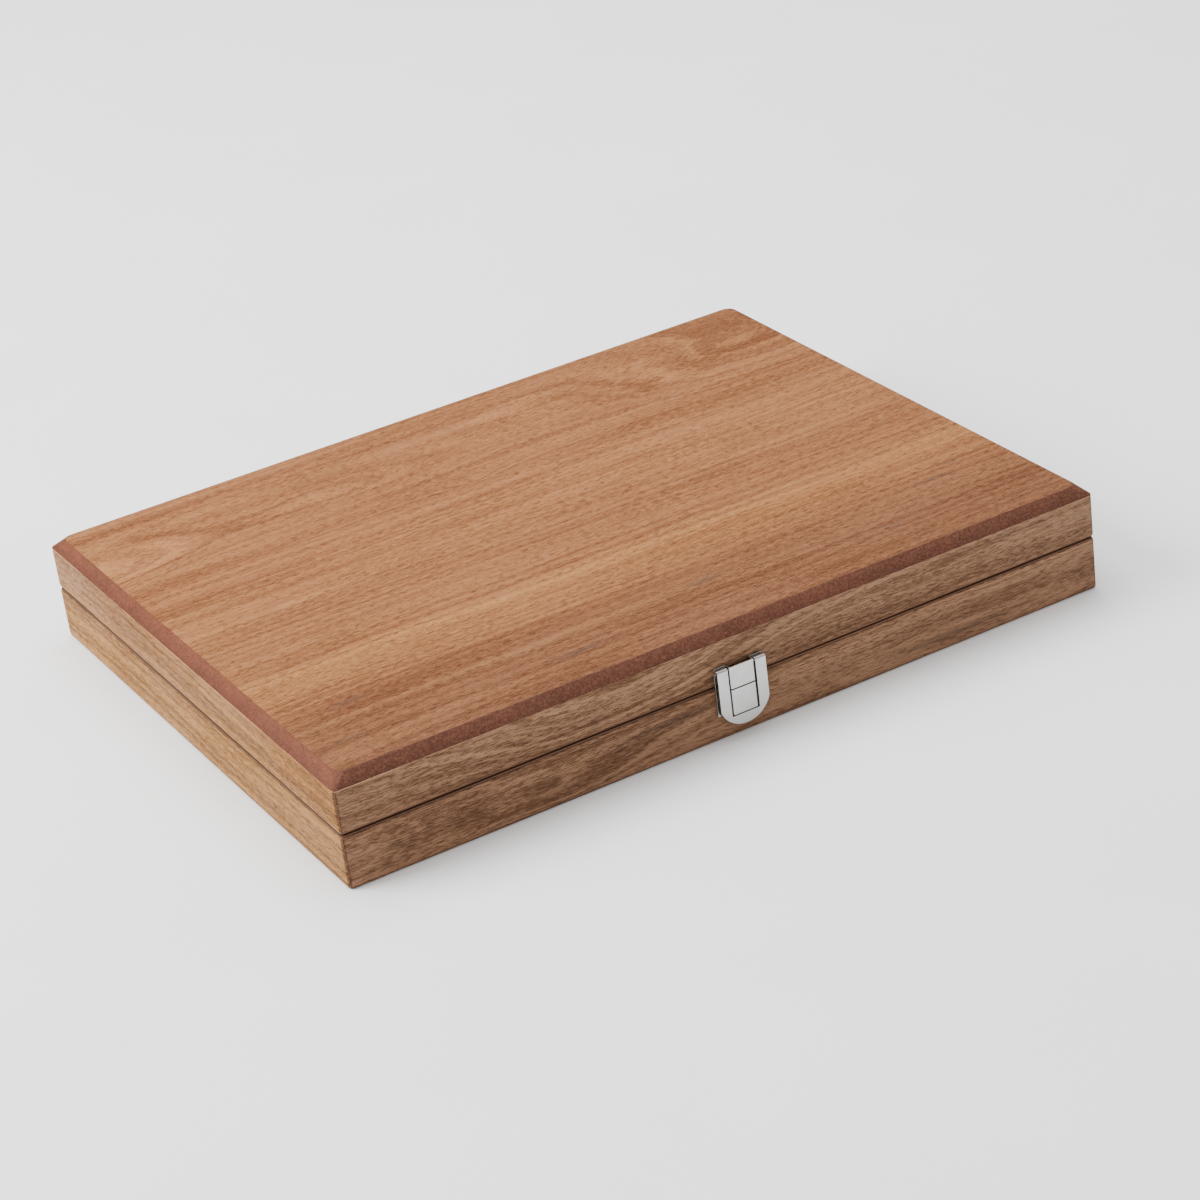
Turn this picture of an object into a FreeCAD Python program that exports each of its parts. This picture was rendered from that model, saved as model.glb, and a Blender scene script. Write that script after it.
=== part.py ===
import FreeCAD, Part
import os
import re

import Sketcher
from FreeCAD import Vector

# A flat wooden poker chip case: a lid and a base of equal height, hinged at the back and held at the
# front by a small snap hasp. +X is the case's right, +Y its back, +Z up. The origin is the middle of
# the footprint, on the surface that the case stands on. All sizes are in millimetres.

SIZES = {
    "case_length": (360.0, "outside, left to right"),
    "case_depth": (280.0, "outside, front to back"),
    "case_height": (48.8, "outside, closed"),
    "seam_height": (24.4, "middle of the gap between lid and base"),
    "seam_gap": (0.2, "between the closed lid and base"),
    "wall_thick": (10.0, "side wall with its veneer"),
    "veneer_thick": (0.5, "wood veneer"),
    "lid_panel_thick": (4.7, "top panel with its veneer"),
    "lid_chamfer": (4.5, "round the top of the lid"),
    "base_panel_thick": (3.0, "bottom panel, let into the walls"),
    "base_rabbet": (5.0, "how far the bottom panel runs under the walls"),
    "corner_round": (2.0, "upright corners"),
    "edge_round": (1.5, "edges at the seam and round the bottom"),
    "lining_thick": (0.5, "felt in the lid"),
    "lining_reveal": (2.0, "bare wood below the felt on the lid's walls"),
    "chip_width": (39.0, "diameter of the chips"),
    "trough_play": (0.4, "round the chips in a trough"),
    "trough_web": (1.2, "tray below the bottom of a trough"),
    "trough_wall": (3.0, "beside and between the troughs"),
    "trough_end": (4.0, "at each end of a trough"),
    "tray_gap": (0.4, "round each tray"),
    "tray_drop": (0.3, "top of the trays below the top of the base"),
    "card_well_width": (67.0, "for a deck, left to right"),
    "card_well_depth": (92.0, "for a deck, front to back"),
    "well_margin": (9.0, "from the edge of the middle tray to a well"),
    "well_rib": (10.0, "between wells, front to back"),
    "dice_well_width": (86.0, "for a row of dice"),
    "dice_well_depth": (18.0, "for a row of dice"),
    "well_corner": (3.0, "corners of the wells"),
    "notch_radius": (11.0, "finger notch beside a deck"),
    "hinge_inset": (78.0, "end of the case to the middle of a hinge"),
    "hinge_length": (32.0, "along the pin"),
    "leaf_width": (8.0, "leaf let into the wall"),
    "leaf_thick": (1.0, "hinge leaf"),
    "knuckle_radius": (1.8, "hinge knuckle"),
    "knuckle_gap": (0.24, "knuckle to the back of the case"),
    "knuckle_space": (0.3, "between knuckles, and round them"),
    "hinge_pin_radius": (0.9, "hinge pin"),
    "pin_play": (0.05, "round each pin in its hole"),
    "pin_head_radius": (1.3, "domed ends of the hinge pins"),
    "pin_face_radius": (0.65, "flat face of those ends"),
    "pin_head_height": (0.6, "domed ends of the hinge pins"),
    "screw_head_radius": (1.7, "countersunk screw"),
    "screw_head_height": (0.9, "countersunk screw"),
    "screw_radius": (0.8, "countersunk screw"),
    "screw_tip_radius": (0.1, "countersunk screw"),
    "screw_length": (8.0, "countersunk screw"),
    "screw_spacing": (18.0, "between the screws of a leaf"),
    "slot_width": (0.5, "screwdriver slot"),
    "slot_depth": (0.4, "screwdriver slot"),
    "plate_width": (22.6, "latch plates across their feet"),
    "plate_thick": (0.8, "sheet of the latch plates"),
    "plate_raised": (11.7, "raised middle of the latch plates"),
    "plate_stand": (3.84, "front of the latch from the wood"),
    "plate_bend": (0.35, "outer bends of the latch plates"),
    "lid_plate_height": (9.9, "latch plate on the lid"),
    "keeper_height": (11.4, "latch plate on the base"),
    "plate_split": (0.5, "between the two latch plates"),
    "latch_drop": (1.5, "middle of that gap below the seam"),
    "lever_width": (23.0, "latch lever"),
    "lever_thick": (1.2, "latch lever"),
    "lever_side": (17.2, "pin to where the lever's rounded end starts"),
    "lever_end_radius": (12.1, "rounded end of the lever"),
    "lever_side_play": (0.7, "raised plates to the lever, each side"),
    "lever_slot_play": (0.45, "keeper to the lever's bar below it"),
    "lever_rim": (0.3, "rounded rim of the lever"),
    "lever_clear": (0.16, "feet of the plate to the lever's rolled ends"),
    "lever_pin_top": (1.5, "lever's pin below the top of its plate"),
    "lever_pin_radius": (0.55, "lever's pin"),
    "lid_nail_height": (3.4, "nails above the low end of the lid's plate"),
    "keeper_nail_height": (5.7, "nails above the low end of the base's plate"),
    "nail_head_radius": (1.3, "nails of the latch plates"),
    "nail_face_radius": (0.78, "flat face of those nails"),
    "nail_head_height": (0.5, "nails of the latch plates"),
    "nail_radius": (0.6, "nails of the latch plates"),
    "nail_length": (8.0, "nails of the latch plates"),
}

# Places worked out from the sizes, as expressions.
LEFT, RIGHT = "(-case_length / 2)", "(case_length / 2)"
FRONT, BACK = "(-case_depth / 2)", "(case_depth / 2)"
BASE_TOP = "(seam_height - seam_gap / 2)"
LID_BOTTOM = "(seam_height + seam_gap / 2)"
WALL_TOP = "(case_height - lid_panel_thick)"
INSIDE_X = "(case_length / 2 - wall_thick)"
INSIDE_Y = "(case_depth / 2 - wall_thick)"
PANEL_X = f"({INSIDE_X} + base_rabbet)"
PANEL_Y = f"({INSIDE_Y} + base_rabbet)"
TROUGH_RADIUS = "(chip_width / 2 + trough_play)"
TROUGH_PITCH = f"(2 * {TROUGH_RADIUS} + trough_wall)"
TROUGH_Z = f"(base_panel_thick + trough_web + {TROUGH_RADIUS})"
TRAY_TOP = f"min({BASE_TOP} - tray_drop; {TROUGH_Z})"
CHIP_TRAY_WIDTH = f"(2 * {TROUGH_PITCH} + trough_wall)"
MIDDLE_X = f"({INSIDE_X} - {CHIP_TRAY_WIDTH} - 2 * tray_gap)"
TRAY_Y = f"({INSIDE_Y} - tray_gap)"
CARD_WELLS_BACK = f"(-{TRAY_Y} + well_margin + card_well_depth)"
DICE_WELL_FRONT = f"({CARD_WELLS_BACK} + well_rib)"
SPARE_WELL_FRONT = f"({DICE_WELL_FRONT} + dice_well_depth + well_rib)"
HINGE_X = "(case_length / 2 - hinge_inset)"
HINGE_Y = f"({BACK} + knuckle_radius + knuckle_gap)"
SCREW_Y = f"({BACK} - leaf_width / 2)"
SPLIT_Z = "(seam_height - latch_drop)"
LID_PLATE_LOW = f"({SPLIT_Z} + plate_split / 2)"
KEEPER_LOW = f"({SPLIT_Z} - plate_split / 2 - keeper_height)"
NAIL_X = "((plate_raised + plate_width) / 4)"
LEVER_KNUCKLE = "((plate_stand - plate_thick - lever_clear) / 2)"
LEVER_OPENING = "(plate_raised + 2 * lever_side_play)"
LEVER_Y = f"({FRONT} - plate_stand + {LEVER_KNUCKLE})"
LEVER_Z = f"({LID_PLATE_LOW} + lid_plate_height - lever_pin_top)"

DOC = FreeCAD.newDocument("poker_chip_case")
PIECES = []


def sized(text):
    """The expression with each name of the sheet turned into a reference to its cell."""
    return re.sub(r"[a-z_]+", lambda m: f"Size.{m[0]}" if m[0] in SIZES else m[0], str(text))


def write_sheet():
    sheet = DOC.addObject("Spreadsheet::Sheet", "Size")
    for row, (name, (value, note)) in enumerate(SIZES.items(), start=1):
        sheet.set(f"A{row}", note)
        sheet.set(f"B{row}", str(value))
        sheet.setAlias(f"B{row}", name)
    DOC.recompute()


def bind(thing, **values):
    for name, text in values.items():
        thing.setExpression(name, sized(text))


def place(thing, at):
    for axis, text in zip("xyz", at):
        thing.setExpression(f"Placement.Base.{axis}", sized(text))


def piece(label, thing):
    """Makes thing the sub-part called label."""
    thing.Label = label
    PIECES.append(thing)
    return thing


# Solids


def box(name, low, high):
    solid = DOC.addObject("Part::Box", name)
    for size, start, end in zip(("Length", "Width", "Height"), low, high):
        bind(solid, **{size: f"({end}) - ({start})"})
    place(solid, low)
    return solid


def cylinder(name, radius, length, at, along):
    solid = DOC.addObject("Part::Cylinder", name)
    solid.Placement.Rotation = FreeCAD.Rotation(Vector(0, 0, 1), Vector(*along))
    bind(solid, Radius=radius, Height=length)
    place(solid, at)
    return solid


def cone(name, start_radius, end_radius, length, at, along):
    solid = DOC.addObject("Part::Cone", name)
    solid.Placement.Rotation = FreeCAD.Rotation(Vector(0, 0, 1), Vector(*along))
    bind(solid, Radius1=start_radius, Radius2=end_radius, Height=length)
    place(solid, at)
    return solid


def fuse(name, solids):
    joined = DOC.addObject("Part::MultiFuse", name)
    joined.Shapes = solids
    return joined


def group(name, solids):
    together = DOC.addObject("Part::Compound", name)
    together.Links = solids
    return together


def common(name, solid, outline):
    shared = DOC.addObject("Part::Common", name)
    shared.Base, shared.Tool = solid, outline
    return shared


def cut(name, solid, tools):
    """solid less every one of tools."""
    remainder = DOC.addObject("Part::Cut", name)
    remainder.Base = solid
    remainder.Tool = tools[0] if len(tools) == 1 else fuse(f"{name}_tools", tools)
    return remainder


# PartDesign bodies


def body(name, at=("0", "0", "0")):
    made = DOC.addObject("PartDesign::Body", name)
    place(made, at)
    return made


def sketch(owner, name, role, offset=("0", "0", "0")):
    """A sketch on one of its body's own origin planes, moved by offset in the sketch's axes."""
    plane = next(p for p in owner.Origin.OriginFeatures if p.Role == role)
    drawing = owner.newObject("Sketcher::SketchObject", name)
    drawing.AttachmentSupport = [(plane, "")]
    drawing.MapMode = "FlatFace"
    for axis, text in zip("xyz", offset):
        drawing.setExpression(f"AttachmentOffset.Base.{axis}", sized(text))
    return drawing


def constrain(drawing, kind, *where, size=None):
    """Adds a constraint, and binds it to size if it has one."""
    index = drawing.addConstraint(Sketcher.Constraint(kind, *where))
    if size is not None:
        drawing.setExpression(f"Constraints[{index}]", sized(size))


def close_loop(drawing, points):
    """Straight lines from point to point and back to the first, each upright or level."""
    ends = [Vector(x, y, 0) for x, y in points]
    for start, end in zip(ends, ends[1:] + ends[:1]):
        drawing.addGeometry(Part.LineSegment(start, end))
    count = len(ends)
    for line in range(count):
        constrain(drawing, "Coincident", line, 2, (line + 1) % count, 1)
        level = abs(ends[line].y - ends[(line + 1) % count].y) < 1e-9
        constrain(drawing, "Horizontal" if level else "Vertical", line)


def rectangle(owner, name, low, size):
    """A rectangle on the body's XY plane, its low corner at low, which may give a height too."""
    drawing = sketch(owner, name, "XY_Plane", low)
    close_loop(drawing, [(0, 0), (10, 0), (10, 10), (0, 10)])
    constrain(drawing, "Coincident", 0, 1, -1, 1)
    constrain(drawing, "Distance", 0, 10.0, size=size[0])
    constrain(drawing, "Distance", 1, 10.0, size=size[1])
    return drawing


def circle(owner, name, radius, offset=("0", "0", "0"), role="YZ_Plane"):
    drawing = sketch(owner, name, role, offset)
    drawing.addGeometry(Part.Circle(Vector(0, 0, 0), Vector(0, 0, 1), 2.0))
    constrain(drawing, "Coincident", 0, 3, -1, 1)
    constrain(drawing, "Radius", 0, 2.0, size=radius)
    return drawing


def pad(owner, drawing, length, midplane=False):
    feature = owner.newObject("PartDesign::Pad", f"{drawing.Name}_pad")
    feature.Profile = drawing
    feature.Midplane = midplane
    bind(feature, Length=length)
    drawing.Visibility = False
    return feature


def pocket(owner, drawing, length, midplane=False):
    """A pocket against the sketch's own direction, or both ways from it."""
    feature = owner.newObject("PartDesign::Pocket", f"{drawing.Name}_pocket")
    feature.Profile = drawing
    feature.Midplane = midplane
    bind(feature, Length=length)
    return feature


def mirrored(owner, feature, role="YZ_Plane"):
    copy = owner.newObject("PartDesign::Mirrored", f"{feature.Name}_mirrored")
    copy.Originals = [feature]
    copy.MirrorPlane = (next(p for p in owner.Origin.OriginFeatures if p.Role == role), [""])
    owner.Tip = copy
    return copy


def dress(owner, kind, name, size, wanted):
    """A Fillet or Chamfer on every edge of the body's tip that wanted accepts."""
    DOC.recompute()
    tip = owner.Tip
    names = [f"Edge{i}" for i, edge in enumerate(tip.Shape.Edges, start=1) if wanted(edge)]
    feature = owner.newObject(f"PartDesign::{kind}", name)
    feature.Base = (tip, names)
    bind(feature, **{"Radius" if kind == "Fillet" else "Size": size})
    return feature


def span(edge, axis):
    """How far the edge reaches along an axis."""
    ends = [getattr(v.Point, axis) for v in edge.Vertexes]
    return max(ends) - min(ends)


def upright(edge):
    return edge.Curve.TypeId == "Part::GeomLine" and span(edge, "x") + span(edge, "y") < 1e-6


def at_height(height):
    """A test for edges that lie level at height."""
    return lambda edge: span(edge, "z") < 1e-6 and abs(edge.Vertexes[0].Z - height) < 1e-6


# The two halves' outlines, which their walls, panels and veneers are trimmed to


def rounded_outline(name, low, high, round_top):
    """The case's plan from low to high with its upright corners, low edge and maybe top edge rounded."""
    owner = body(name)
    drawing = rectangle(owner, f"{name}_plan", (LEFT, FRONT, low), ("case_length", "case_depth"))
    pad(owner, drawing, f"{high} - {low}")
    dress(owner, "Fillet", f"{name}_corners", "corner_round", upright)
    DOC.recompute()
    ends = owner.Tip.Shape.BoundBox
    dress(owner, "Fillet", f"{name}_edges", "edge_round",
          lambda edge: at_height(ends.ZMin)(edge) or round_top and at_height(ends.ZMax)(edge))
    return owner


def lid_outline():
    """The lid's outline, with a wide chamfer round its top."""
    bevelled = body("lid_bevelled")
    plan = rectangle(bevelled, "lid_bevelled_plan", (LEFT, FRONT, LID_BOTTOM),
                     ("case_length", "case_depth"))
    pad(bevelled, plan, f"case_height - {LID_BOTTOM}")
    DOC.recompute()
    dress(bevelled, "Chamfer", "lid_bevel", "lid_chamfer", at_height(bevelled.Tip.Shape.BoundBox.ZMax))
    rounded = rounded_outline("lid_rounded", LID_BOTTOM, "case_height", round_top=False)
    return common("lid_outline", rounded, bevelled)


# Walls, veneers and panels


def wall_boxes(half, low, high):
    """The four walls of one half: the front and back run through and the sides stand between them."""
    core_x, core_y = f"({RIGHT} - veneer_thick)", f"({BACK} - veneer_thick)"
    return {
        "front": box(f"{half}_front", (f"-{core_x}", f"-{core_y}", low), (core_x, f"-{INSIDE_Y}", high)),
        "back": box(f"{half}_back", (f"-{core_x}", INSIDE_Y, low), (core_x, core_y, high)),
        "left": box(f"{half}_left", (f"-{core_x}", f"-{INSIDE_Y}", low), (f"-{INSIDE_X}", INSIDE_Y, high)),
        "right": box(f"{half}_right", (INSIDE_X, f"-{INSIDE_Y}", low), (core_x, INSIDE_Y, high)),
    }


def veneer_boxes(half, low, high):
    """The veneer of the four walls: the side sheets cover the ends of the front and back ones."""
    core_x, core_y = f"({RIGHT} - veneer_thick)", f"({BACK} - veneer_thick)"
    return {
        "front": box(f"{half}_vf", (f"-{core_x}", FRONT, low), (core_x, f"-{core_y}", high)),
        "back": box(f"{half}_vb", (f"-{core_x}", core_y, low), (core_x, BACK, high)),
        "left": box(f"{half}_vl", (LEFT, FRONT, low), (f"-{core_x}", BACK, high)),
        "right": box(f"{half}_vr", (core_x, FRONT, low), (RIGHT, BACK, high)),
    }


def trimmed_walls(half, low, high, outline, tools):
    """Walls and veneers of one half, trimmed to its outline and cut by the tools of each side."""
    for kind, boxes in (("wall", wall_boxes(half, low, high)), ("veneer", veneer_boxes(half, low, high))):
        for side, raw in boxes.items():
            name = f"{half}_{kind}_{side}"
            shaped = common(f"{name}_trimmed", raw, outline)
            wanted = tools.get((kind, side), []) + tools.get((kind, "all"), [])
            piece(name, cut(f"{name}_cut", shaped, wanted) if wanted else shaped)


def base_panel_box(name):
    return box(name, (f"-{PANEL_X}", f"-{PANEL_Y}", "0"), (PANEL_X, PANEL_Y, "base_panel_thick"))


def lid_panels(outline):
    core_top = "(case_height - veneer_thick)"
    core = box("lid_core", (LEFT, FRONT, WALL_TOP), (RIGHT, BACK, core_top))
    sheet = box("lid_sheet", (LEFT, FRONT, core_top), (RIGHT, BACK, "case_height"))
    piece("lid_panel", common("lid_panel_trimmed", core, outline))
    piece("lid_veneer_top", common("lid_veneer_top_trimmed", sheet, outline))


# Felt in the lid


def lid_linings():
    ceiling = f"({WALL_TOP} - lining_thick)"
    rim_low = f"({LID_BOTTOM} + lining_reveal)"
    piece("lid_lining_top", box("lid_lining_top", (f"-{INSIDE_X}", f"-{INSIDE_Y}", ceiling),
                                (INSIDE_X, INSIDE_Y, WALL_TOP)))
    outer = box("lid_rim_outer", (f"-{INSIDE_X}", f"-{INSIDE_Y}", rim_low), (INSIDE_X, INSIDE_Y, ceiling))
    felt_x, felt_y = f"({INSIDE_X} - lining_thick)", f"({INSIDE_Y} - lining_thick)"
    inner = box("lid_rim_inner", (f"-{felt_x}", f"-{felt_y}", rim_low), (felt_x, felt_y, ceiling))
    piece("lid_lining_rim", cut("lid_rim", outer, [inner]))


# Trays


def chip_tray(side, left):
    """A tray of two half-round troughs that run front to back, its left edge at left."""
    block = box(f"{side}_tray_block", (left, f"-{TRAY_Y}", "base_panel_thick"),
                (f"({left} + {CHIP_TRAY_WIDTH})", TRAY_Y, TRAY_TOP))
    troughs = [
        cylinder(f"{side}_trough_{row}", TROUGH_RADIUS, f"2 * ({TRAY_Y} - trough_end)",
                 (f"{left} + trough_wall + {TROUGH_RADIUS} + {row} * {TROUGH_PITCH}",
                  f"-{TRAY_Y} + trough_end", TROUGH_Z), (0, 1, 0))
        for row in range(2)
    ]
    piece(f"chip_tray_{side}", cut(f"{side}_tray_cut", block, troughs))


def middle_tray():
    """Two wells for decks of cards, a well for a row of dice and a larger spare well."""
    owner = body("middle_tray_block", ("0", "0", "base_panel_thick"))
    plan = rectangle(owner, "middle_tray_plan", (f"-{MIDDLE_X}", f"-{TRAY_Y}"),
                     (f"2 * {MIDDLE_X}", f"2 * {TRAY_Y}"))
    pad(owner, plan, f"{TRAY_TOP} - base_panel_thick")
    outer_x = f"({MIDDLE_X} - well_margin)"
    depth = f"({TRAY_TOP} - base_panel_thick - trough_web)"
    wells = {
        "left_deck": ((f"-{outer_x}", f"-{TRAY_Y} + well_margin"), ("card_well_width", "card_well_depth")),
        "right_deck": ((f"{outer_x} - card_well_width", f"-{TRAY_Y} + well_margin"),
                       ("card_well_width", "card_well_depth")),
        "dice": (("-dice_well_width / 2", DICE_WELL_FRONT), ("dice_well_width", "dice_well_depth")),
        "spare": ((f"-{outer_x}", SPARE_WELL_FRONT),
                  (f"2 * {outer_x}", f"{TRAY_Y} - well_margin - {SPARE_WELL_FRONT}")),
    }
    for name, (low, size) in wells.items():
        outline = rectangle(owner, f"{name}_well", (*low, f"{TRAY_TOP} - base_panel_thick"), size)
        pocket(owner, outline, depth)
    DOC.recompute()
    wall_x, wall_y = owner.Tip.Shape.BoundBox.XMax, owner.Tip.Shape.BoundBox.YMax
    dress(owner, "Fillet", "well_corners", "well_corner",
          lambda edge: upright(edge) and abs(edge.Vertexes[0].X) < wall_x - 1e-6
          and abs(edge.Vertexes[0].Y) < wall_y - 1e-6)
    notches = [
        cylinder(f"notch_{name}", "notch_radius", depth,
                 (x, f"-{TRAY_Y} + well_margin + card_well_depth / 2", "base_panel_thick + trough_web"),
                 (0, 0, 1))
        for name, x in (("left", f"-{outer_x} + card_well_width"),
                        ("right", f"{outer_x} - card_well_width"))
    ]
    piece("middle_tray", cut("middle_tray_cut", owner, notches))


# Hinges


def countersunk_screw(name, x, y, z, up):
    """A solid screw and the same screw with its slot; its head's face is at z and faces up or down."""
    shank_length = "(screw_length - screw_head_height - 2 * screw_radius)"

    def lower(depth):
        return (x, y, f"{z} - {up} * ({depth})")

    solid = fuse(name, [
        cone(f"{name}_head", "screw_head_radius", "screw_radius", "screw_head_height",
             lower("0"), (0, 0, -up)),
        cylinder(f"{name}_shank", "screw_radius", shank_length, lower("screw_head_height"), (0, 0, -up)),
        cone(f"{name}_tip", "screw_radius", "screw_tip_radius", "2 * screw_radius",
             lower(f"screw_head_height + {shank_length}"), (0, 0, -up)),
    ])
    half_slot = "(slot_width / 2)"
    slot_low, slot_high = (f"{z} - slot_depth", z) if up > 0 else (z, f"{z} + slot_depth")
    slot = box(f"{name}_slot", (f"{x} - screw_head_radius", f"{y} - {half_slot}", slot_low),
               (f"({x} + screw_head_radius)", f"({y} + {half_slot})", f"({slot_high})"))
    return solid, cut(f"{name}_slotted", solid, [slot])


def hinge_screws(half, z, up):
    """Every hinge screw of one half, solid for drilling and slotted for show."""
    made = [
        countersunk_screw(f"{half}_screw_{row}", f"({side} * {HINGE_X} + {way} * screw_spacing / 2)",
                          SCREW_Y, z, up)
        for row, (side, way) in enumerate([(-1, -1), (-1, 1), (1, -1), (1, 1)])
    ]
    solids, slotted = zip(*made)
    piece(f"hinge_screws_{half}", group(f"{half}_screws", list(slotted)))
    return list(solids)


def hinge_leaf(side, half, up, screws):
    """One leaf: its plate lies in the wall and its knuckles sit behind the case, round the pin."""
    centre = f"({'-' if side == 'left' else ''}{HINGE_X})"
    name = f"{side}_{half}_leaf"
    third = "(hinge_length / 3)"
    low, high = ("seam_gap / 2", "(seam_gap / 2 + leaf_thick)") if up < 0 else (
        "-seam_gap / 2 - leaf_thick", "(-seam_gap / 2)")
    reach = "(knuckle_radius + knuckle_gap)"
    clear = "(knuckle_radius + knuckle_space)"
    at = (centre, HINGE_Y, "seam_height")

    def local_box(suffix, x_low, x_high, y_low, y_high):
        return box(f"{name}_{suffix}", (f"{at[0]} + {x_low}", f"{at[1]} + {y_low}", f"{at[2]} + {low}"),
                   (f"({at[0]} + {x_high})", f"({at[1]} + {y_high})", f"({at[2]} + {high})"))

    plate = local_box("plate", "(-hinge_length / 2)", "(hinge_length / 2)",
                      f"(-{reach} - leaf_width)", f"(-{clear})")
    gap = "knuckle_space / 2"
    spans = {
        "lid": [(f"(-{third} / 2 + {gap})", f"({third} / 2 - {gap})")],
        "base": [("(-hinge_length / 2)", f"(-{third} / 2 - {gap})"),
                 (f"({third} / 2 + {gap})", "(hinge_length / 2)")],
    }[half]
    solids = [plate]
    for row, (start, end) in enumerate(spans):
        solids.append(local_box(f"neck_{row}", start, end, f"(-{clear})", "0"))
        solids.append(cylinder(f"{name}_knuckle_{row}", "knuckle_radius", f"({end}) - ({start})",
                               (f"{at[0]} + {start}", at[1], at[2]), (1, 0, 0)))
    hole = cylinder(f"{name}_hole", "(hinge_pin_radius + pin_play)", "2 * hinge_length",
                    (f"{at[0]} - hinge_length", at[1], at[2]), (1, 0, 0))
    piece(f"hinge_{side}_{half}_leaf", cut(f"{name}_cut", fuse(name, solids), [hole, *screws]))


def hinge_mortise(side, half):
    """The recess for a leaf in the edge of the back wall, open to the back."""
    centre = f"({'-' if side == 'left' else ''}{HINGE_X})"
    low, high = (LID_BOTTOM, f"({LID_BOTTOM} + leaf_thick)") if half == "lid" else (
        f"({BASE_TOP} - leaf_thick)", BASE_TOP)
    return box(f"{side}_{half}_mortise", (f"{centre} - hinge_length / 2", f"{BACK} - leaf_width", low),
               (f"({centre} + hinge_length / 2)", f"({BACK} + knuckle_radius)", high))


def hinge_pin(side):
    """A pin through the three knuckles with a low dome on each end."""
    centre = f"({'-' if side == 'left' else ''}{HINGE_X})"
    name = f"{side}_hinge_pin"
    half = "(hinge_length / 2)"
    solids = [cylinder(f"{name}_shaft", "hinge_pin_radius", "hinge_length",
                       (f"{centre} - {half}", HINGE_Y, "seam_height"), (1, 0, 0))]
    for way in (-1, 1):
        solids.append(cone(f"{name}_end_{way + 1}", "pin_head_radius", "pin_face_radius", "pin_head_height",
                           (f"{centre} + {way} * {half}", HINGE_Y, "seam_height"), (way, 0, 0)))
    piece(f"hinge_{side}_pin", fuse(name, solids))


# Latch


def latch_nails(half, height):
    """One nail through each foot of a latch plate, into the front wall."""
    nails = []
    for side, way in (("left", -1), ("right", 1)):
        name = f"{half}_nail_{side}"
        head_at = (f"{way} * {NAIL_X}", f"{FRONT} - plate_thick", height)
        shank = cylinder(f"{name}_shank", "nail_radius", "nail_length", head_at, (0, 1, 0))
        head = cone(f"{name}_head", "nail_head_radius", "nail_face_radius", "nail_head_height",
                    head_at, (0, -1, 0))
        nails.append(fuse(name, [shank, head]))
    piece(f"latch_nails_{half}", group(f"{half}_nails", nails))
    return nails


def latch_plate(name, low, height, holes):
    """A strip bent to a hat: a foot on the wood at each side of a raised middle that is open above."""
    owner = body(name, ("0", FRONT, low))
    inner = "(plate_raised / 2 - plate_thick)"
    raised = rectangle(owner, f"{name}_raised", ("-plate_raised / 2", "-plate_stand"),
                       ("plate_raised", "plate_stand"))
    pad(owner, raised, height)
    dress(owner, "Fillet", f"{name}_bends", "plate_bend",
          lambda edge: upright(edge) and edge.Vertexes[0].Y < -SIZES["plate_thick"][0])
    feet = rectangle(owner, f"{name}_feet", ("-plate_width / 2", "-plate_thick"),
                     ("plate_width", "plate_thick"))
    pad(owner, feet, height)
    channel = rectangle(owner, f"{name}_channel", (f"-{inner}", "plate_thick - plate_stand", height),
                        (f"2 * {inner}", "plate_stand - plate_thick"))
    pocket(owner, channel, height)
    piece(f"latch_{name}", cut(f"{name}_cut", owner, holes))


def lever_pin(name, radius):
    half = "(lever_width / 2 - pin_play)"
    return cylinder(name, radius, f"2 * {half}", (f"-{half}", LEVER_Y, LEVER_Z), (1, 0, 0))


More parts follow.
